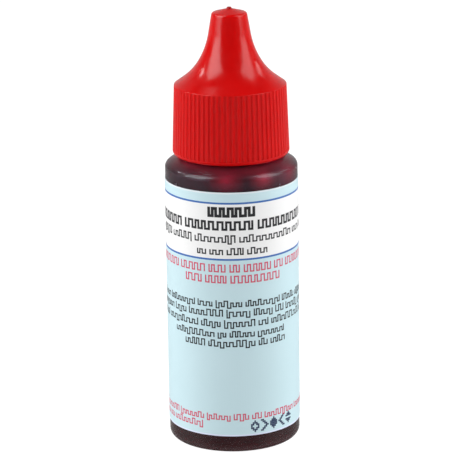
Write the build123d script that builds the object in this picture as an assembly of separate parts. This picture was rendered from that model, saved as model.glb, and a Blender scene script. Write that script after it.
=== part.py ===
"""Dropper bottle: blow-moulded bottle, dropper plug, spouted screw cap, wrap-around label and its fill.

Millimetres, +Z up, origin at the centre of the face that the bottle stands on.
Every outline is a list of (radius, height) corners that is turned about Z.
"""

from build123d import *
import math
import os

# Bottle
body_radius = 12.6
wall = 1.15
base_thickness = 1.2
heel_radius = 1.35
foot_ring_inner = 9.6
base_recess_radius = 8.4
base_recess_depth = 0.9
base_recess_flare = 1.0
shoulder_edge = 54.235
shoulder_radius = 1.1
shoulder_slope = 34.0

# Neck finish, with a right-hand single-start thread of eight turns to the inch
rim_height = 68.0
neck_radius = 8.75
bore_radius = 7.25
thread_pitch = 25.4 / 8
thread_depth = 1.0
neck_thread_crest = 0.8
thread_flank_spread = 1.2
thread_sink = 0.15
thread_run_out = 24.0
thread_run_out_steps = 3
thread_end_share = 0.02
neck_thread_start = 60.8
neck_thread_turns = 1.5

# Cap
skirt_bottom = 56.1
skirt_radius = 11.13
skirt_edge_radius = 0.8
skirt_top = (10.64, 69.5)
flare_knee = (6.9, 72.2)
flare_radius = 11.4
spout_knee = (4.43, 76.75)
spout_knee_radius = 15.0
spout_top = (3.33, 83.15)
spout_edge_radius = 0.6
crown_height = 83.93
gate_radius = 0.45
gate_height = 0.27
cap_wall = 1.15
inner_knee_radius = 8.0
inner_flare_radius = 6.0
cap_bore_radius = 9.95
cap_lead_in = (0.25, 0.5)
cap_thread_crest = 1.0
cap_thread_start = 59.2
cap_thread_turns = 1.5
rib_count = 68
groove_depth = 0.18
groove_radius = 0.45
groove_foot = 0.85
seal_bead = (7.4, 8.2)
seal_gap = 0.1
pin_reach = 0.65

# Dropper plug
plug_bottom = 61.6
plug_barrel_radius = 6.95
plug_lead_in = (0.2, 0.3)
plug_bore_radius = 5.9
seal_ring_radius = 7.2
seal_ring_heights = (62.8, 65.6)
seal_ring_half_width = 0.45
flange_radius = 8.35
flange_thickness = 0.95
flange_lift = 0.05
nozzle_foot_radius = 5.6
nozzle_waist = (3.1, 74.6)
nozzle_tip = (1.75, 81.0)
nozzle_outer_sweep = 10.0
orifice_radius = 0.35
orifice_bottom = 77.4
channel_throat = (1.2, 76.0)
channel_waist = (2.0, 74.0)
channel_mouth = (4.4, 69.4)
channel_foot = 67.85
countersink_radius = 0.8
countersink_depth = 0.8
pin_gap = 0.06

# Label and fill
label_radius = 12.7
label_bottom = 3.5
label_top = 51.6
label_gap_width = 2.6
label_gap_azimuth = 128.0
glue_thickness = 0.01
fill_level = 55.6
liquid_gap = 0.05

# Roundings of moulded corners
fine_round = 0.1
small_round = 0.2
middle_round = 0.4
wide_round = 0.8


def turned(corners):
    """The solid that an outline of (radius, height, rounding) corners makes about Z."""
    points = [(radius, 0, height) for radius, height, _ in corners]
    roundings = [rounding for _, _, rounding in corners]
    outline = FilletPolyline(*points, radius=roundings, close=True)
    return revolve(make_face(outline), Axis.Z)


def inset(line, distance):
    """The corners of the line parallel to an open outline, on its left, where its runs meet."""
    runs = []
    for (r0, z0), (r1, z1) in zip(line, line[1:]):
        length = math.hypot(r1 - r0, z1 - z0)
        along = ((r1 - r0) / length, (z1 - z0) / length)
        runs.append(((r0 - along[1] * distance, z0 + along[0] * distance), along))
    corners = [runs[0][0]]
    for (start_a, a), (start_b, b) in zip(runs, runs[1:]):
        apart = (start_b[0] - start_a[0], start_b[1] - start_a[1])
        reach = (apart[0] * b[1] - apart[1] * b[0]) / (a[0] * b[1] - a[1] * b[0])
        corners.append((start_a[0] + a[0] * reach, start_a[1] + a[1] * reach))
    return corners


def thread_section(root_radius, depth, crest_width, start_height, angle):
    """The thread's trapezium at an angle in degrees round its helix.

    It stands outwards where depth is positive, and its foot is sunk a little into the wall.
    """
    turn = math.radians(angle)
    outwards = math.copysign(1, depth)
    height = start_height + thread_pitch * angle / 360
    radial = (math.cos(turn), math.sin(turn), 0)
    along = (-root_radius * math.sin(turn), root_radius * math.cos(turn), thread_pitch / (2 * math.pi))
    plane = Plane(
        origin=(root_radius * radial[0], root_radius * radial[1], height),
        x_dir=(outwards * radial[0], outwards * radial[1], 0),
        z_dir=along,
    )
    rise = abs(depth)
    root_width = crest_width + thread_flank_spread * (rise + thread_sink) / thread_depth
    outline = Polyline(
        (-thread_sink, -root_width / 2),
        (rise, -crest_width / 2),
        (rise, crest_width / 2),
        (-thread_sink, root_width / 2),
        close=True,
    )
    return plane * make_face(outline)


def thread_ridge(root_radius, depth, crest_width, start_height, turns):
    """A right-hand thread of full height over its turns, which sinks into the wall at both ends."""
    path = Pos(0, 0, start_height) * Helix(
        pitch=thread_pitch, height=turns * thread_pitch, radius=root_radius
    )
    full = thread_section(root_radius, depth, crest_width, start_height, 0)
    ridge = sweep(full, path=path, is_frenet=True)
    for end, way in ((0, -1), (360 * turns, 1)):
        sections = []
        for step in range(thread_run_out_steps + 1):
            share = step / thread_run_out_steps
            sections.append(
                thread_section(
                    root_radius,
                    depth * (1 + (thread_end_share - 1) * share),
                    crest_width,
                    start_height,
                    end + way * thread_run_out * share,
                )
            )
        ridge += loft(sections, ruled=True)
    return ridge


def shoulder_height(radius, below=0.0):
    """Height of the shoulder's slope at a radius, on the line that lies below it by a given thickness."""
    slope = math.radians(shoulder_slope)
    return shoulder_edge + (body_radius - radius) * math.tan(slope) - below / math.cos(slope)


def bottle_inside(clear=0.0):
    """Corners of the bottle's cavity from the base's centre to its shoulder, drawn in by a clearance."""
    inner = body_radius - wall - clear
    floor = base_thickness + clear
    recess = base_recess_radius - clear
    return [
        (0, floor + base_recess_depth, 0),
        (recess, floor + base_recess_depth, wide_round),
        (recess + base_recess_flare, floor, middle_round),
        (inner, floor, heel_radius - small_round),
        (inner, shoulder_height(inner, wall + clear), shoulder_radius - small_round),
    ]


def make_bottle():
    outside = [
        (0, base_recess_depth, 0),
        (base_recess_radius, base_recess_depth, wide_round),
        (foot_ring_inner, 0, middle_round),
        (body_radius, 0, heel_radius),
        (body_radius, shoulder_edge, shoulder_radius),
        (neck_radius, shoulder_height(neck_radius), middle_round),
        (neck_radius, rim_height, middle_round),
        (bore_radius, rim_height, small_round),
        (bore_radius, shoulder_height(bore_radius, wall), wide_round),
    ]
    blank = turned(outside + bottle_inside()[::-1])
    thread = thread_ridge(
        neck_radius, thread_depth, neck_thread_crest, neck_thread_start, neck_thread_turns
    )
    return blank + thread


def make_liquid():
    """The fill: the cavity's shape up to its level surface, which lies part way up the shoulder."""
    inside = bottle_inside(liquid_gap)
    inner, shoulder_foot, _ = inside[-1]
    surface_radius = inner + (shoulder_foot - fill_level) / math.tan(math.radians(shoulder_slope))
    return turned(inside + [(surface_radius, fill_level, 0), (0, fill_level, 0)])


def make_label():
    """A thin wrap whose two ends stop short of each other, so that a slit of the bottle shows."""
    inner_radius = body_radius + glue_thickness
    height = label_top - label_bottom
    ring = Cylinder(label_radius, height) - Cylinder(inner_radius, height)
    slit = Pos(label_radius, 0, 0) * Box(2 * wall, label_gap_width, height)
    wrap = ring - Rot(0, 0, label_gap_azimuth) * slit
    return Pos(0, 0, label_bottom + height / 2) * wrap


def plug_rings():
    """The two sealing rings on the barrel, as corners from the bottom up."""
    corners = []
    for height in seal_ring_heights:
        corners += [
            (plug_barrel_radius, height - seal_ring_half_width, fine_round),
            (seal_ring_radius, height - seal_ring_half_width / 2, fine_round),
            (seal_ring_radius, height + seal_ring_half_width / 2, fine_round),
            (plug_barrel_radius, height + seal_ring_half_width, fine_round),
        ]
    return corners


def make_plug():
    """The insert: a barrel pressed into the neck, a flange on its rim and a nozzle with its channel."""
    flange_bottom = rim_height + flange_lift
    flange_top = flange_bottom + flange_thickness
    outside = [
        (plug_bore_radius, plug_bottom, small_round),
        (plug_barrel_radius - plug_lead_in[0], plug_bottom, 0),
        (plug_barrel_radius, plug_bottom + plug_lead_in[1], 0),
        *plug_rings(),
        (plug_barrel_radius, flange_bottom, fine_round),
        (flange_radius, flange_bottom, fine_round),
        (flange_radius, flange_top, small_round),
        (nozzle_foot_radius, flange_top, wide_round),
        (*nozzle_waist, nozzle_outer_sweep),
        (*nozzle_tip, small_round),
    ]
    channel = [
        (countersink_radius, nozzle_tip[1], fine_round),
        (orifice_radius, nozzle_tip[1] - countersink_depth, 0),
        (orifice_radius, orifice_bottom, 0),
        (*channel_throat, 0),
        (*channel_waist, wide_round),
        (*channel_mouth, wide_round),
        (plug_bore_radius, channel_foot, wide_round),
    ]
    return turned(outside + channel)


def pin_corners(ceiling):
    """The cone under the cap's ceiling that closes the nozzle's orifice, from its tip to its root."""
    spread = (countersink_radius - orifice_radius) / countersink_depth
    tip_height = nozzle_tip[1] - pin_reach
    tip_radius = orifice_radius - pin_gap
    root_radius = tip_radius + spread * (ceiling - tip_height) - pin_gap
    return [(0, tip_height, 0), (tip_radius, tip_height, fine_round), (root_radius, ceiling, small_round)]


def make_cap():
    """The cap: a ribbed skirt, a flare and a hollow spout, with a seal bead and a pin inside."""
    outer_line = [(skirt_radius, skirt_bottom), skirt_top, flare_knee, spout_knee, spout_top]
    _, flare_start, inner_flare_knee, inner_spout_knee = inset(outer_line, cap_wall)
    ceiling = spout_top[1] - cap_wall
    run = (inner_flare_knee[0] - flare_start[0], inner_flare_knee[1] - flare_start[1])

    def roof(radius):
        return flare_start[1] + (radius - flare_start[0]) * run[1] / run[0]

    bead_bottom = rim_height + flange_lift + flange_thickness + seal_gap
    spout_draft = (spout_top[0] - spout_knee[0]) / (spout_top[1] - spout_knee[1])
    ceiling_radius = inner_spout_knee[0] + spout_draft * (ceiling - inner_spout_knee[1])
    outside = [
        (skirt_radius, skirt_bottom, skirt_edge_radius),
        (*skirt_top, small_round),
        (*flare_knee, flare_radius),
        (*spout_knee, spout_knee_radius),
        (*spout_top, spout_edge_radius),
        (gate_radius, crown_height, fine_round),
        (gate_radius, crown_height + gate_height, fine_round),
        (0, crown_height + gate_height, 0),
    ]
    inside = pin_corners(ceiling) + [
        (ceiling_radius, ceiling, middle_round),
        (*inner_spout_knee, inner_knee_radius),
        (*inner_flare_knee, inner_flare_radius),
        (seal_bead[0], roof(seal_bead[0]), small_round),
        (seal_bead[0], bead_bottom, fine_round),
        (seal_bead[1], bead_bottom, fine_round),
        (seal_bead[1], roof(seal_bead[1]), small_round),
        (cap_bore_radius, roof(cap_bore_radius), middle_round),
        (cap_bore_radius, skirt_bottom + cap_lead_in[1], 0),
        (cap_bore_radius + cap_lead_in[0], skirt_bottom, 0),
    ]
    blank = turned(outside + inside)
    thread = thread_ridge(
        cap_bore_radius, -thread_depth, cap_thread_crest, cap_thread_start, cap_thread_turns
    )
    return blank - grooves() + thread


def grooves():
    """The round valleys between the grip ribs: they lean with the skirt, and stop short of its plain rim."""
    height = skirt_top[1] - skirt_bottom
    lean = math.degrees(math.atan((skirt_radius - skirt_top[0]) / height))
    outwards = groove_radius - groove_depth
    middle = (groove_foot + height) / 2
    cutter = Pos(skirt_radius, 0, skirt_bottom) * Rot(0, -lean, 0) * Pos(outwards, 0, middle) * Cylinder(
        groove_radius, height - groove_foot
    )
    return [Rot(0, 0, 360 * n / rib_count) * cutter for n in range(rib_count)]


nodes = {
    "bottle": make_bottle(),
    "dropper_plug": make_plug(),
    "cap": make_cap(),
    "label": make_label(),
    "indicator_liquid": make_liquid(),
}

os.makedirs("parts", exist_ok=True)
for name, solid in nodes.items():
    solid.label = name
    export_step(solid, f"parts/{name}.step")
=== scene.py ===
"""Dropper bottle: its looks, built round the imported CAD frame. Metres, +Z up, the label's front faces -Y."""

import itertools
import math
import random

import bmesh
import bpy
from mathutils import Matrix, Vector


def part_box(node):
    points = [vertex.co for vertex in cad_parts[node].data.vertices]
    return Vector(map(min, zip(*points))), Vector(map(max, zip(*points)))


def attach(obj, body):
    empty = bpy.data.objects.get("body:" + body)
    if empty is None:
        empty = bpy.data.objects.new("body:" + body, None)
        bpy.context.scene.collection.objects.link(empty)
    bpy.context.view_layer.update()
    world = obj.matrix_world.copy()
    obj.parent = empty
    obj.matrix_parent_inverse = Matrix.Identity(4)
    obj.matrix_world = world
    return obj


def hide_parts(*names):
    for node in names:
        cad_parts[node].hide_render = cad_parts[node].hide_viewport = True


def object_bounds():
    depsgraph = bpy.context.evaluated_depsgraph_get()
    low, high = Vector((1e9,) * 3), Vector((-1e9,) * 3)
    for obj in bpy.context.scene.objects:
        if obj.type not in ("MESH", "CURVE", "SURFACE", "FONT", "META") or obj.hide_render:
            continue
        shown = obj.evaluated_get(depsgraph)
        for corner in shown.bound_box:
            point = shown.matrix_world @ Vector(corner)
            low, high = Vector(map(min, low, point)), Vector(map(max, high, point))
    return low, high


MM = 0.001

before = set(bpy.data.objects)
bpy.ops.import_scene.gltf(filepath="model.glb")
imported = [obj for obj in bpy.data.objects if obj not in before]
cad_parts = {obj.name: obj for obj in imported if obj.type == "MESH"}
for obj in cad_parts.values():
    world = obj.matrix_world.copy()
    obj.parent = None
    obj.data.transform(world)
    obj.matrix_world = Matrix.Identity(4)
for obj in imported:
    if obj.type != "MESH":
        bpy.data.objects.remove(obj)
cad_low, cad_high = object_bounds()

# Camera: a long lens, a little above the bottle, standing a hair out of level
CAMERA_DISTANCE = 509.9 * MM
CAMERA_HEIGHT = 187.0 * MM
CAMERA_PITCH = math.radians(16.0)
CAMERA_YAW = math.radians(0.047)
CAMERA_ROLL = math.radians(-0.816)
CAMERA_REACH = (0.01, 20)
SENSOR_WIDTH = 36.0
LENS = 217.06

# Most of a noise's values lie in NOISE_RANGE, and a step from colour to colour is SOFT_EDGE wide. The Mix
# node's sockets share their names, so those for colours and for numbers are told apart by their places.
NOISE_RANGE = (0.25, 0.75)
SOFT_EDGE = 0.04 * MM
COLOUR_A, COLOUR_B, COLOUR_RESULT = 6, 7, 2
NUMBER_A, NUMBER_B, NUMBER_RESULT = 2, 3, 0

# Light that the surroundings give off in front of the bottle, behind it, and low at its sides. Each range
# is of one coordinate of a ray's direction, over which that light comes in.
FRONT_GLOW = 0.025
BACK_GLOW = 0.46
SIDE_GLOW = 0.26
BACK_RANGE = (0.5, 0.95)
SIDE_RANGE = (0.5, 0.85)
LOW_RANGE = (0.06, -0.06)

# Floor
FLOOR_SIZE = 4.0
FLOOR_GREYS = ((0.18, 0.18, 0.18), (0.20, 0.20, 0.20))
FLOOR_GLOW = 0.93

# Lights, all at one distance: (name, azimuth, elevation, width, height, power). The boxes and glints show
# on the mouldings, the light of the glints doesn't pass through plastic, and no surface mirrors the fills.
LIGHT_DISTANCE = 0.75
BOXES = (
    ("left_box", -68, 34, 0.52, 0.75, 4.6),
    ("right_box", 77, 34, 0.44, 0.75, 2.5),
)
GLINTS = (
    ("back_card", -148, 67, 0.24, 0.15, 0.26),
    ("left_window", -115, 36, 0.05, 0.16, 0.30),
    ("right_window", 120, 30, 0.09, 0.20, 0.22),
)
FILLS = (
    ("side_fill", -108, 20, 0.5, 0.7, 2.3),
    ("side_fill", 108, 20, 0.5, 0.7, 2.3),
    ("right_fill", 70, 34, 0.58, 0.75, 2.0),
)
OVERHEAD_POWER = 0.25
OVERHEAD_SPREAD = math.radians(120)

# Cap, and how far a darker red reaches from the top of its crown
CAP_REDS = ((0.53, 0.002, 0.002), (0.60, 0.003, 0.003))
CROWN_TIP_RED = (0.10, 0.006, 0.005)
CROWN_TIP_REACH = 1.3 * MM

# Bottle: its plastic is tinted at the foot and on the shoulder, and milky above the fill's film
FOOT_TINTS = ((0.74, 0.56, 0.60), (0.82, 0.63, 0.67))
SHOULDER_TINTS = ((0.74, 0.58, 0.90), (0.82, 0.66, 0.96))
DRY_TINTS = ((0.86, 0.86, 0.85), (0.92, 0.92, 0.91))
WETTED_CLEARNESS = 0.99
DRY_CLEARNESS = 0.72
FILM_CLIMB = 3.2 * MM
FILM_EDGE = 1.2 * MM

PLUG_WHITES = ((0.80, 0.80, 0.78), (0.86, 0.86, 0.84))

# Fill: its level is the CAD node's. It swells into the wall, and from FOOT_TOP down to FOOT_FLOOR more so
FILL_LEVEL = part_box("indicator_liquid")[1].z
LIQUID_SWELL = 0.4 * MM
FOOT_SWELL = 0.8 * MM
FOOT_TOP = 2.4 * MM
FOOT_FLOOR = 1.3 * MM
WELD_REACH = 0.0005 * MM
SHARP_ANGLE = math.radians(40)

# Painted light in the fill's colour: a painted brighter rim at its top, and painted balls of glow, each as
# (azimuth, size, red)
LIQUID_REDS = ((0.034, 0.002, 0.003), (0.052, 0.002, 0.005))
PAINTED_RIM_RED = (0.36, 0.005, 0.022)
RIM_HEIGHT = 54.5 * MM
RIM_EDGE = 1.6 * MM
GLOW_RADIUS = 11.8 * MM
GLOW_HEIGHT = 53.5 * MM
GLOW_GREEN_BLUE = (0.018, 0.036)
PAINTED_LIQUID_GLOWS = (
    (-5, 4.5 * MM, 0.52),
    (30, 4.0 * MM, 0.58),
    (64, 6.5 * MM, 0.36),
    (218, 5.0 * MM, 0.50),
)

# Label: its edges are the CAD node's, and the white band lies between the two rules
label_low, label_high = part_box("label")
LABEL_RADIUS = label_high.x
LABEL_BOTTOM, LABEL_TOP = label_low.z, label_high.z
LABEL_GAP_WIDTH = 2.6 * MM
LABEL_GAP_AZIMUTH = math.radians(128.0)
LABEL_MARGIN = 0.28 * MM
LABEL_BLUES = ((0.495, 0.665, 0.715), (0.53, 0.70, 0.75))
BAND_WHITE = (0.80, 0.80, 0.80)
LOW_MARGIN = (0.66, 0.70, 0.86)
HIGH_MARGIN = (0.70, 0.76, 0.80)
RULE_HEIGHTS = (38.6 * MM, 49.5 * MM)
RULE_WIDTH = 0.36 * MM

# Film and ink: slabs bent round the bottle in steps, the ink a hair inside the CAD label's face
FILM_THICKNESS = 0.08 * MM
INK_THICKNESS = 0.008 * MM
INK_INSET = 0.004 * MM
SLAB_STEP = 0.5 * MM
RULE_INK = ((0.05, 0.16, 0.46), (0.03, 0.12, 0.40))
BLACK_INK = ((0.030, 0.030, 0.034), (0.012, 0.012, 0.014))
RED_INK = ((0.64, 0.10, 0.16), (0.54, 0.05, 0.11))
STAMP_INK = ((0.03, 0.05, 0.12), (0.015, 0.025, 0.08))

# Print: stems' pitch as a share of a line's height and how it varies, the gap between words and the
# shortest word in pitches, how tall a small stem is, and how often turns lie higher or hang lower
PRINT_SEED = 7
STEM_PITCH = 0.42
PITCH_SPREAD = (0.75, 1.25)
WORD_GAP = 1.1
LEAST_WORD = 3
SMALL_HEIGHT = 0.74
TALL_SHARE = 0.36
DEEP_SHARE = 0.12
DEEP_DROP = 0.22

# Stamped code: where its first sign starts, the step from sign to sign, and its dots
CODE_START = 3.1 * MM
CODE_PITCH = 2.0 * MM
CODE_LOW = 4.1 * MM
CODE_RISE = 0.06 * MM
CODE_DOT = 0.32 * MM
CODE_DOT_PITCH = 0.34 * MM

# (ink, bottom, top, left end, right end, stroke, stems in its words, all of one height), in millimetres
PRINT_LINES = (
    ("black", 46.8, 48.8, -4.7, 5.3, 0.55, (30,), True),
    ("black", 44.25, 46.1, -23.0, 24.0, 0.42, (17, 18, 17, 14, 9), True),
    ("black", 41.9, 43.4, -22.0, 25.5, 0.27, (5, 8, 9, 13, 19), False),
    ("black", 39.5, 40.9, -7.0, 7.6, 0.27, (4, 5, 6, 7), False),
    ("red", 36.1, 37.65, -21.5, 21.5, 0.26, (16, 9, 6, 4, 10, 4, 14), True),
    ("red", 33.95, 35.5, -9.8, 10.8, 0.26, (6, 8, 16, 8), True),
    ("black", 29.3, 30.6, -24.5, 25.0, 0.24, (12, 5, 14, 6, 10, 14, 8, 8), False),
    ("black", 27.4, 28.8, -25.0, 24.0, 0.24, (4, 15, 6, 13, 8, 8, 4, 8), False),
    ("black", 25.35, 26.75, -23.5, 24.5, 0.24, (9, 4, 14, 8, 11, 4, 16, 12), False),
    ("black", 23.3, 24.6, -12.9, 12.8, 0.24, (17, 4, 10, 12, 14), False),
    ("black", 21.4, 22.8, -10.2, 11.4, 0.24, (9, 16, 4, 12), False),
    ("red", 6.75, 8.0, -24.0, 23.5, 0.23, (9, 11, 12, 10, 6, 4, 15, 12), False),
    ("red", 5.1, 6.4, -20.0, -4.7, 0.23, (6, 4, 14), False),
)


# Node helpers -------------------------------------------------------------------------------------


class Shader:
    """A material's node tree with short ways to add and join nodes."""

    def __init__(self, name):
        self.material = bpy.data.materials.new(name)
        self.material.use_nodes = True
        self.tree = self.material.node_tree
        self.surface = self.tree.nodes["Principled BSDF"]

    def add(self, kind, **values):
        node = self.tree.nodes.new(kind)
        for key, value in values.items():
            setattr(node, key, value)
        return node

    def join(self, source, target):
        self.tree.links.new(source, target)

    def set(self, **values):
        """Constant values on the Principled shader's own sockets, by name with _ for a space."""
        for key, value in values.items():
            self.surface.inputs[key.replace("_", " ")].default_value = value

    def coordinates(self):
        return self.add("ShaderNodeTexCoord").outputs["Object"]

    def height(self):
        """A point's height above the base."""
        axes = self.add("ShaderNodeSeparateXYZ")
        self.join(self.coordinates(), axes.inputs["Vector"])
        return axes.outputs["Z"]

    def noise(self, size, detail=3.0):
        """Noise whose features are about size metres."""
        mapping = self.add("ShaderNodeMapping")
        mapping.inputs["Scale"].default_value = [1 / size] * 3
        self.join(self.coordinates(), mapping.inputs["Vector"])
        noise = self.add("ShaderNodeTexNoise")
        noise.inputs["Scale"].default_value = 1.0
        noise.inputs["Detail"].default_value = detail
        self.join(mapping.outputs["Vector"], noise.inputs["Vector"])
        return noise.outputs["Fac"]

    def spread(self, fac, low, high):
        """fac, which lies about a half, mapped to low..high."""
        node = self.add("ShaderNodeMapRange")
        node.inputs["From Min"].default_value, node.inputs["From Max"].default_value = NOISE_RANGE
        node.inputs["To Min"].default_value = low
        node.inputs["To Max"].default_value = high
        self.join(fac, node.inputs["Value"])
        return node.outputs["Result"]

    def step(self, value, edge, width=SOFT_EDGE):
        """0 below edge and 1 above it, over a soft edge of that width."""
        node = self.add("ShaderNodeMapRange")
        node.inputs["From Min"].default_value = edge - width / 2
        node.inputs["From Max"].default_value = edge + width / 2
        self.join(value, node.inputs["Value"])
        return node.outputs["Result"]

    def ball(self, centre, radius):
        """1 at a centre, falling smoothly to 0 at a radius."""
        mapping = self.add("ShaderNodeMapping", vector_type="POINT")
        mapping.inputs["Location"].default_value = [-c / radius for c in centre]
        mapping.inputs["Scale"].default_value = [1 / radius] * 3
        self.join(self.coordinates(), mapping.inputs["Vector"])
        gradient = self.add("ShaderNodeTexGradient", gradient_type="QUADRATIC_SPHERE")
        self.join(mapping.outputs["Vector"], gradient.inputs["Vector"])
        return gradient.outputs["Fac"]

    def blend(self, fac, first, second):
        """A colour between two colours or colour sockets."""
        node = self.add("ShaderNodeMix", data_type="RGBA")
        self.join(fac, node.inputs["Factor"])
        for value, socket in ((first, node.inputs[COLOUR_A]), (second, node.inputs[COLOUR_B])):
            if isinstance(value, tuple):
                socket.default_value = (*value, 1)
            else:
                self.join(value, socket)
        return node.outputs[COLOUR_RESULT]

    def mottle(self, shades, size, detail=3.0):
        """A colour that wanders between two shades in patches of about a size."""
        return self.blend(self.noise(size, detail), *shades)

    def base(self, colour):
        self.join(colour, self.surface.inputs["Base Color"])

    def roughness(self, size, low, high):
        self.join(self.spread(self.noise(size), low, high), self.surface.inputs["Roughness"])

    def bump(self, size, distance):
        """Ripples of about a size, and of up to a distance in height."""
        node = self.add("ShaderNodeBump")
        node.inputs["Strength"].default_value = 1.0
        node.inputs["Distance"].default_value = distance
        self.join(self.noise(size, detail=2), node.inputs["Height"])
        self.join(node.outputs["Normal"], self.surface.inputs["Normal"])


# Materials ----------------------------------------------------------------------------------------


def cap_material():
    """Glossy moulded polypropylene with a faint ripple, a darker red round the top of its crown."""
    m = Shader("cap_red")
    colour = m.mottle(CAP_REDS, size=5 * MM, detail=2)
    # the red darkens round the top of the crown, over the gate nub
    m.base(m.blend(m.ball((0, 0, cad_high.z), CROWN_TIP_REACH), colour, CROWN_TIP_RED))
    m.roughness(size=1.6 * MM, low=0.16, high=0.26)
    m.bump(size=1.3 * MM, distance=0.003 * MM)
    m.set(IOR=1.49, Subsurface_Weight=0.6, Subsurface_Scale=1.5 * MM, Subsurface_Radius=(1.0, 0.15, 0.1))
    return m.material


def bottle_material():
    """Natural polyethylene with a satin skin: milky where it is empty, and tinted where the fill wets it."""
    m = Shader("bottle_natural")
    height = m.height()
    empty = m.step(height, FILL_LEVEL + FILM_CLIMB, FILM_EDGE)
    above_label_middle = m.step(height, (LABEL_BOTTOM + LABEL_TOP) / 2)
    foot = m.mottle(FOOT_TINTS, size=5 * MM)
    shoulder = m.mottle(SHOULDER_TINTS, size=5 * MM)
    wetted = m.blend(above_label_middle, foot, shoulder)
    m.base(m.blend(empty, wetted, m.mottle(DRY_TINTS, size=5 * MM)))
    clearness = m.add("ShaderNodeMapRange")
    clearness.inputs["To Min"].default_value = WETTED_CLEARNESS
    clearness.inputs["To Max"].default_value = DRY_CLEARNESS
    m.join(empty, clearness.inputs["Value"])
    m.join(clearness.outputs["Result"], m.surface.inputs["Transmission Weight"])
    m.roughness(size=2 * MM, low=0.2, high=0.28)
    m.bump(size=1.5 * MM, distance=0.005 * MM)
    m.set(IOR=1.51)
    return m.material


def plug_material():
    """The same kind of plastic as the bottle's, thick enough to look white."""
    m = Shader("plug_natural")
    m.base(m.mottle(PLUG_WHITES, size=3 * MM))
    m.roughness(size=1 * MM, low=0.3, high=0.42)
    m.bump(size=0.6 * MM, distance=0.005 * MM)
    m.set(IOR=1.51, Subsurface_Weight=0.5, Subsurface_Scale=1.5 * MM)
    return m.material


def liquid_material():
    """Deep red indicator, too dark to see through, with glow painted into its colour where light would cross
    it under the shoulder.
    """
    m = Shader("reagent")
    # painted light: a brighter red rim at the fill's top and balls of red glow, painted into its base colour
    painted_rim_glow = m.step(m.height(), RIM_HEIGHT, RIM_EDGE)
    colour = m.blend(painted_rim_glow, m.mottle(LIQUID_REDS, size=8 * MM), PAINTED_RIM_RED)
    for azimuth, size, red in PAINTED_LIQUID_GLOWS:
        a = math.radians(azimuth)
        place = (GLOW_RADIUS * math.sin(a), -GLOW_RADIUS * math.cos(a), GLOW_HEIGHT)
        colour = m.blend(m.ball(place, size), colour, (red, *GLOW_GREEN_BLUE))
    m.base(colour)
    m.roughness(size=6 * MM, low=0.02, high=0.06)
    # inside the wall that it wets, the fill hardly mirrors anything
    m.set(IOR=1.33, Specular_IOR_Level=0.25)
    return m.material


def label_material():
    """Pale blue film with a white band between the two rules, and paler along its top and bottom edges."""
    m = Shader("label_film")
    height = m.height()
    band = m.add("ShaderNodeMath", operation="SUBTRACT")
    for rule_height, socket in zip(RULE_HEIGHTS, band.inputs):
        m.join(m.step(height, rule_height), socket)
    colour = m.blend(band.outputs["Value"], m.mottle(LABEL_BLUES, size=9 * MM), BAND_WHITE)
    colour = m.blend(m.step(height, LABEL_BOTTOM + LABEL_MARGIN), LOW_MARGIN, colour)
    colour = m.blend(m.step(height, LABEL_TOP - LABEL_MARGIN), colour, HIGH_MARGIN)
    m.base(colour)
    m.roughness(size=2 * MM, low=0.42, high=0.52)
    m.bump(size=0.3 * MM, distance=0.002 * MM)
    return m.material


def ink_material(name, shades):
    """Printing ink, a little uneven in its cover."""
    m = Shader(name)
    m.base(m.mottle(shades, size=0.5 * MM))
    m.roughness(size=0.8 * MM, low=0.4, high=0.55)
    return m.material


def floor_material():
    """White paper, dull, which gives off most of its own light."""
    m = Shader("floor")
    m.base(m.mottle(FLOOR_GREYS, size=0.4))
    m.set(Roughness=0.9, Specular_IOR_Level=0.0)
    m.set(Emission_Color=(1, 1, 1, 1), Emission_Strength=FLOOR_GLOW)
    return m.material


def paint(node, material):
    """Give a CAD node its material."""
    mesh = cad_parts[node].data
    mesh.materials.clear()
    mesh.materials.append(material)


# Studio -------------------------------------------------------------------------------------------


def make_camera():
    data = bpy.data.cameras.new("camera")
    data.sensor_width = SENSOR_WIDTH
    data.lens = LENS
    data.clip_start, data.clip_end = CAMERA_REACH
    camera = bpy.data.objects.new("camera", data)
    bpy.context.scene.collection.objects.link(camera)
    turn = Matrix.Rotation(CAMERA_YAW, 4, "Z")
    tilt = Matrix.Rotation(math.pi / 2 - CAMERA_PITCH, 4, "X")
    roll = Matrix.Rotation(CAMERA_ROLL, 4, "Z")
    camera.matrix_world = Matrix.Translation((0, -CAMERA_DISTANCE, CAMERA_HEIGHT)) @ turn @ tilt @ roll
    bpy.context.scene.camera = camera


def softbox(name, azimuth, elevation, width, height, power):
    """A rectangular light aimed at the bottle's middle. Azimuth 0 is the camera's side, 90 its right."""
    data = bpy.data.lights.new(name, "AREA")
    data.shape = "RECTANGLE"
    data.size = width
    data.size_y = height
    data.energy = power
    light = bpy.data.objects.new(name, data)
    bpy.context.scene.collection.objects.link(light)
    a, e = math.radians(azimuth), math.radians(elevation)
    away = Vector((math.sin(a) * math.cos(e), -math.cos(a) * math.cos(e), math.sin(e)))
    target = (cad_low + cad_high) / 2
    light.location = target + away * LIGHT_DISTANCE
    light.rotation_euler = away.to_track_quat("Z", "Y").to_euler()
    return light


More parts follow.
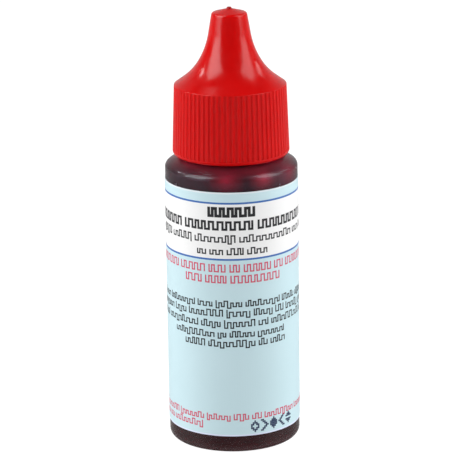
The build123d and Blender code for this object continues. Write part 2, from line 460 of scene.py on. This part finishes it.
def make_world():
    """Light from behind and low at the sides, and a dark room in front; the camera sees plain white."""
    world = bpy.data.worlds.new("studio")
    world.use_nodes = True
    tree = world.node_tree

    def ramp(value, start, end, low, high):
        node = tree.nodes.new("ShaderNodeMapRange")
        for key, number in zip(("From Min", "From Max", "To Min", "To Max"), (start, end, low, high)):
            node.inputs[key].default_value = number
        tree.links.new(value, node.inputs["Value"])
        return node.outputs["Result"]

    def combine(operation, first, second=None):
        node = tree.nodes.new("ShaderNodeMath")
        node.operation = operation
        tree.links.new(first, node.inputs[0])
        if second:
            tree.links.new(second, node.inputs[1])
        return node.outputs[0]

    direction = tree.nodes.new("ShaderNodeTexCoord")
    parts = tree.nodes.new("ShaderNodeSeparateXYZ")
    tree.links.new(direction.outputs["Generated"], parts.inputs["Vector"])
    behind = ramp(parts.outputs["Y"], *BACK_RANGE, FRONT_GLOW, BACK_GLOW)
    sideways = ramp(combine("ABSOLUTE", parts.outputs["X"]), *SIDE_RANGE, 0.0, SIDE_GLOW)
    low = ramp(parts.outputs["Z"], *LOW_RANGE, 0.0, 1.0)
    glow = combine("ADD", behind, combine("MULTIPLY", sideways, low))
    ray = tree.nodes.new("ShaderNodeLightPath")
    pick = tree.nodes.new("ShaderNodeMix")
    tree.links.new(ray.outputs["Is Camera Ray"], pick.inputs["Factor"])
    tree.links.new(glow, pick.inputs[NUMBER_A])
    pick.inputs[NUMBER_B].default_value = 1.0
    background = tree.nodes["Background"]
    tree.links.new(pick.outputs[NUMBER_RESULT], background.inputs["Strength"])
    background.inputs["Color"].default_value = (1, 1, 1, 1)
    bpy.context.scene.world = world


def make_floor():
    mesh = bpy.data.meshes.new("floor")
    shape = bmesh.new()
    bmesh.ops.create_grid(shape, x_segments=1, y_segments=1, size=FLOOR_SIZE)
    shape.to_mesh(mesh)
    shape.free()
    floor = bpy.data.objects.new("floor", mesh)
    floor.location = (0, 0, cad_low.z)
    floor.data.materials.append(floor_material())
    floor.visible_glossy = False
    bpy.context.scene.collection.objects.link(floor)


def make_overhead():
    """Even soft light from above, the same all over the floor, which no surface mirrors."""
    data = bpy.data.lights.new("overhead", "SUN")
    data.energy = OVERHEAD_POWER
    data.angle = OVERHEAD_SPREAD
    light = bpy.data.objects.new("overhead", data)
    light.visible_glossy = False
    bpy.context.scene.collection.objects.link(light)


def make_studio():
    for box in BOXES:
        softbox(*box)
    for card in GLINTS:
        softbox(*card).visible_transmission = False
    for fill in FILLS:
        softbox(*fill).visible_glossy = False
    make_overhead()
    make_world()
    make_floor()
    bpy.context.scene.view_settings.view_transform = "Standard"


# Pieces -------------------------------------------------------------------------------------------


def add_piece(mesh, material):
    """The mesh as a piece that rides on the bottle, named as the mesh is."""
    mesh.materials.append(material)
    made = bpy.data.objects.new(mesh.name, mesh)
    bpy.context.scene.collection.objects.link(made)
    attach(made, "bottle")
    return made


class Builder:
    """Collects the faces of one of the label's pieces."""

    def __init__(self):
        self.points = []
        self.faces = []

    def piece(self, name, material):
        mesh = bpy.data.meshes.new(name)
        mesh.from_pydata(self.points, [], self.faces)
        mesh.validate()
        return add_piece(mesh, material)


def on_label(along, height, radius):
    """The point at an arc length along the label's face from its front line, at a height and a radius."""
    angle = along / LABEL_RADIUS
    return (radius * math.sin(angle), -radius * math.cos(angle), height)


def curved_slab(builder, start, end, low, high, inner, outer):
    """A closed slab bent round the bottle, from start to end along the label and from low to high."""
    steps = max(1, math.ceil((end - start) / SLAB_STEP))
    first = len(builder.points)
    for n in range(steps + 1):
        along = start + (end - start) * n / steps
        for height, radius in ((low, inner), (low, outer), (high, outer), (high, inner)):
            builder.points.append(on_label(along, height, radius))
    for n in range(steps):
        a = first + 4 * n
        for k in range(4):
            following = (k + 1) % 4
            builder.faces.append((a + k, a + 4 + k, a + 4 + following, a + following))
    last = first + 4 * steps
    builder.faces += [(first, first + 1, first + 2, first + 3), (last + 3, last + 2, last + 1, last)]


def label_span():
    """Where the label starts and ends along its face, at the two sides of the gap at its back."""
    half_gap = LABEL_GAP_WIDTH / 2 / LABEL_RADIUS
    # the gap's azimuth is counted from +X; along the label's face it is counted from -Y
    gap = LABEL_GAP_AZIMUTH + math.pi / 2
    return (gap + half_gap - 2 * math.pi) * LABEL_RADIUS, (gap - half_gap) * LABEL_RADIUS


def make_label():
    """The film with its white band, in place of the CAD's label."""
    builder = Builder()
    outer = LABEL_RADIUS - INK_INSET - INK_THICKNESS
    curved_slab(builder, *label_span(), LABEL_BOTTOM, LABEL_TOP, outer - FILM_THICKNESS, outer)
    label = builder.piece("label_film", label_material())
    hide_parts("label")


def print_slab(builder, start, end, low, high):
    """A closed slab of ink, half of it sunk in the film."""
    outer = LABEL_RADIUS - INK_INSET
    curved_slab(builder, start, end, low, high, outer - 2 * INK_THICKNESS, outer)


def make_rules():
    """The two thin rules along the white band's edges."""
    builder = Builder()
    for height in RULE_HEIGHTS:
        print_slab(builder, *label_span(), height - RULE_WIDTH / 2, height + RULE_WIDTH / 2)
    builder.piece("label_rules", ink_material("ink_blue", RULE_INK))


def print_cells(builder, cells):
    """One closed slab of ink over cells that share edges, each given as its left, right, low and high."""
    outer = LABEL_RADIUS - INK_INSET
    inner = outer - 2 * INK_THICKNESS
    corners = {}
    # a ring's edge that no other ring runs along the other way gets a side face, in the order the rings come
    edges = {}

    def corner(place):
        """The corner's point on the slab's inner side; its outer one is the next point."""
        if place not in corners:
            corners[place] = len(builder.points)
            builder.points += [on_label(*place, inner), on_label(*place, outer)]
        return corners[place]

    for left, right, low, high in cells:
        ring = [corner(place) for place in ((left, low), (right, low), (right, high), (left, high))]
        builder.faces.append([point + 1 for point in ring])
        builder.faces.append(ring[::-1])
        for a, b in zip(ring, ring[1:] + ring[:1]):
            edges[a, b] = True
    for a, b in edges:
        if (b, a) not in edges:
            builder.faces.append((a, b, b + 1, a + 1))


def print_word(builder, rng, low, high, start, end, stems, weight, capital):
    """One word's meander from start, with up to a number of stems; returns where it stops, before end.

    The print stands for lettering without being any: a meander's turns, at its feet and at its tops, lie at
    uneven levels.
    """
    height = high - low
    body = high if capital else low + height * SMALL_HEIGHT

    def turn_level(n):
        """The outer edge of turn n: even turns are at the foot and odd ones at the top."""
        if n % 2:
            return high if rng.random() < TALL_SHARE else body
        return low - height * DEEP_DROP if not capital and rng.random() < DEEP_SHARE else low

    cells = []
    along = start
    before = turn_level(1)
    for n in range(stems):
        after = turn_level(n)
        bottom, top = min(before, after), max(before, after)
        levels = (bottom, bottom + weight, top - weight, top)
        right = along + weight
        cells += [(along, right, *band) for band in zip(levels, levels[1:])]
        following = along + height * STEM_PITCH * rng.uniform(*PITCH_SPREAD)
        if n == stems - 1 or following + weight > end:
            break
        turn = levels[2:] if n % 2 else levels[:2]
        cells.append((right, following, *turn))
        along = following
        before = after
    print_cells(builder, cells)
    return along + weight


def print_line(builder, rng, low, high, start, end, weight, words, capital):
    """A line of words from start to end, each of the given numbers of stems in turn."""
    pitch = (high - low) * STEM_PITCH
    along = start
    for stems in itertools.cycle(words):
        if end - along <= LEAST_WORD * pitch:
            break
        along = print_word(builder, rng, low, high, along, end, stems, weight, capital) + pitch * WORD_GAP


def make_print():
    """The label's lines of print, laid out as on the bottle."""
    rng = random.Random(PRINT_SEED)
    builders = {"black": Builder(), "red": Builder()}
    for ink, low, high, start, end, weight, words, capital in PRINT_LINES:
        print_line(
            builders[ink], rng, low * MM, high * MM, start * MM, end * MM, weight * MM, words, capital
        )
    builders["black"].piece("label_print_black", ink_material("ink_black", BLACK_INK))
    builders["red"].piece("label_print_red", ink_material("ink_red", RED_INK))


# The stamped code is held by signs of dots that spell nothing: rows of five from the top
CODE_SIGNS = (
    ("..#..", ".###.", "##.##", "#...#", "##.##", ".###.", "..#.."),
    ("##...", ".##..", "..##.", "...##", "..##.", ".##..", "##..."),
    ("..#..", ".###.", "#####", "#####", "#####", ".###.", "..#.."),
    ("...##", "..##.", ".##..", "##...", ".##..", "..##.", "...##"),
    ("..#..", ".###.", "#####", ".....", "#####", ".###.", "..#.."),
)


def make_lot_code():
    """The stamped code, each dot a square slab of ink."""
    builder = Builder()
    for n, sign in enumerate(CODE_SIGNS):
        left = CODE_START + CODE_PITCH * n
        low = CODE_LOW + CODE_RISE * n
        for row, dots in enumerate(reversed(sign)):
            for column, dot in enumerate(dots):
                if dot == "#":
                    x = left + column * CODE_DOT_PITCH
                    z = low + row * CODE_DOT_PITCH
                    print_slab(builder, x, x + CODE_DOT, z, z + CODE_DOT)
    builder.piece("label_lot_dots", ink_material("ink_stamp", STAMP_INK))


def liquid_swell(height):
    """How far the fill swells into the wall, which is most at the foot, where the plastic is thick."""
    share = min(1, max(0, (FOOT_TOP - height) / (FOOT_TOP - FOOT_FLOOR)))
    return LIQUID_SWELL + (FOOT_SWELL - LIQUID_SWELL) * share


def make_liquid():
    """The fill, swelled a little into the wall that it wets, so that no film of air shows between them."""
    shape = bmesh.new()
    shape.from_mesh(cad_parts["indicator_liquid"].data)
    bmesh.ops.remove_doubles(shape, verts=shape.verts, dist=WELD_REACH)
    shape.normal_update()
    swelled = [vertex.co + vertex.normal * liquid_swell(vertex.co.z) for vertex in shape.verts]
    for vertex, place in zip(shape.verts, swelled):
        vertex.co = (place.x, place.y, min(place.z, FILL_LEVEL))
    mesh = bpy.data.meshes.new("reagent_fill")
    shape.to_mesh(mesh)
    shape.free()
    mesh.shade_smooth()
    mesh.set_sharp_from_angle(angle=SHARP_ANGLE)
    fill = add_piece(mesh, liquid_material())
    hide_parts("indicator_liquid")


paint("cap", cap_material())
paint("bottle", bottle_material())
paint("dropper_plug", plug_material())
make_liquid()
make_label()
make_rules()
make_print()
make_lot_code()
make_camera()
make_studio()
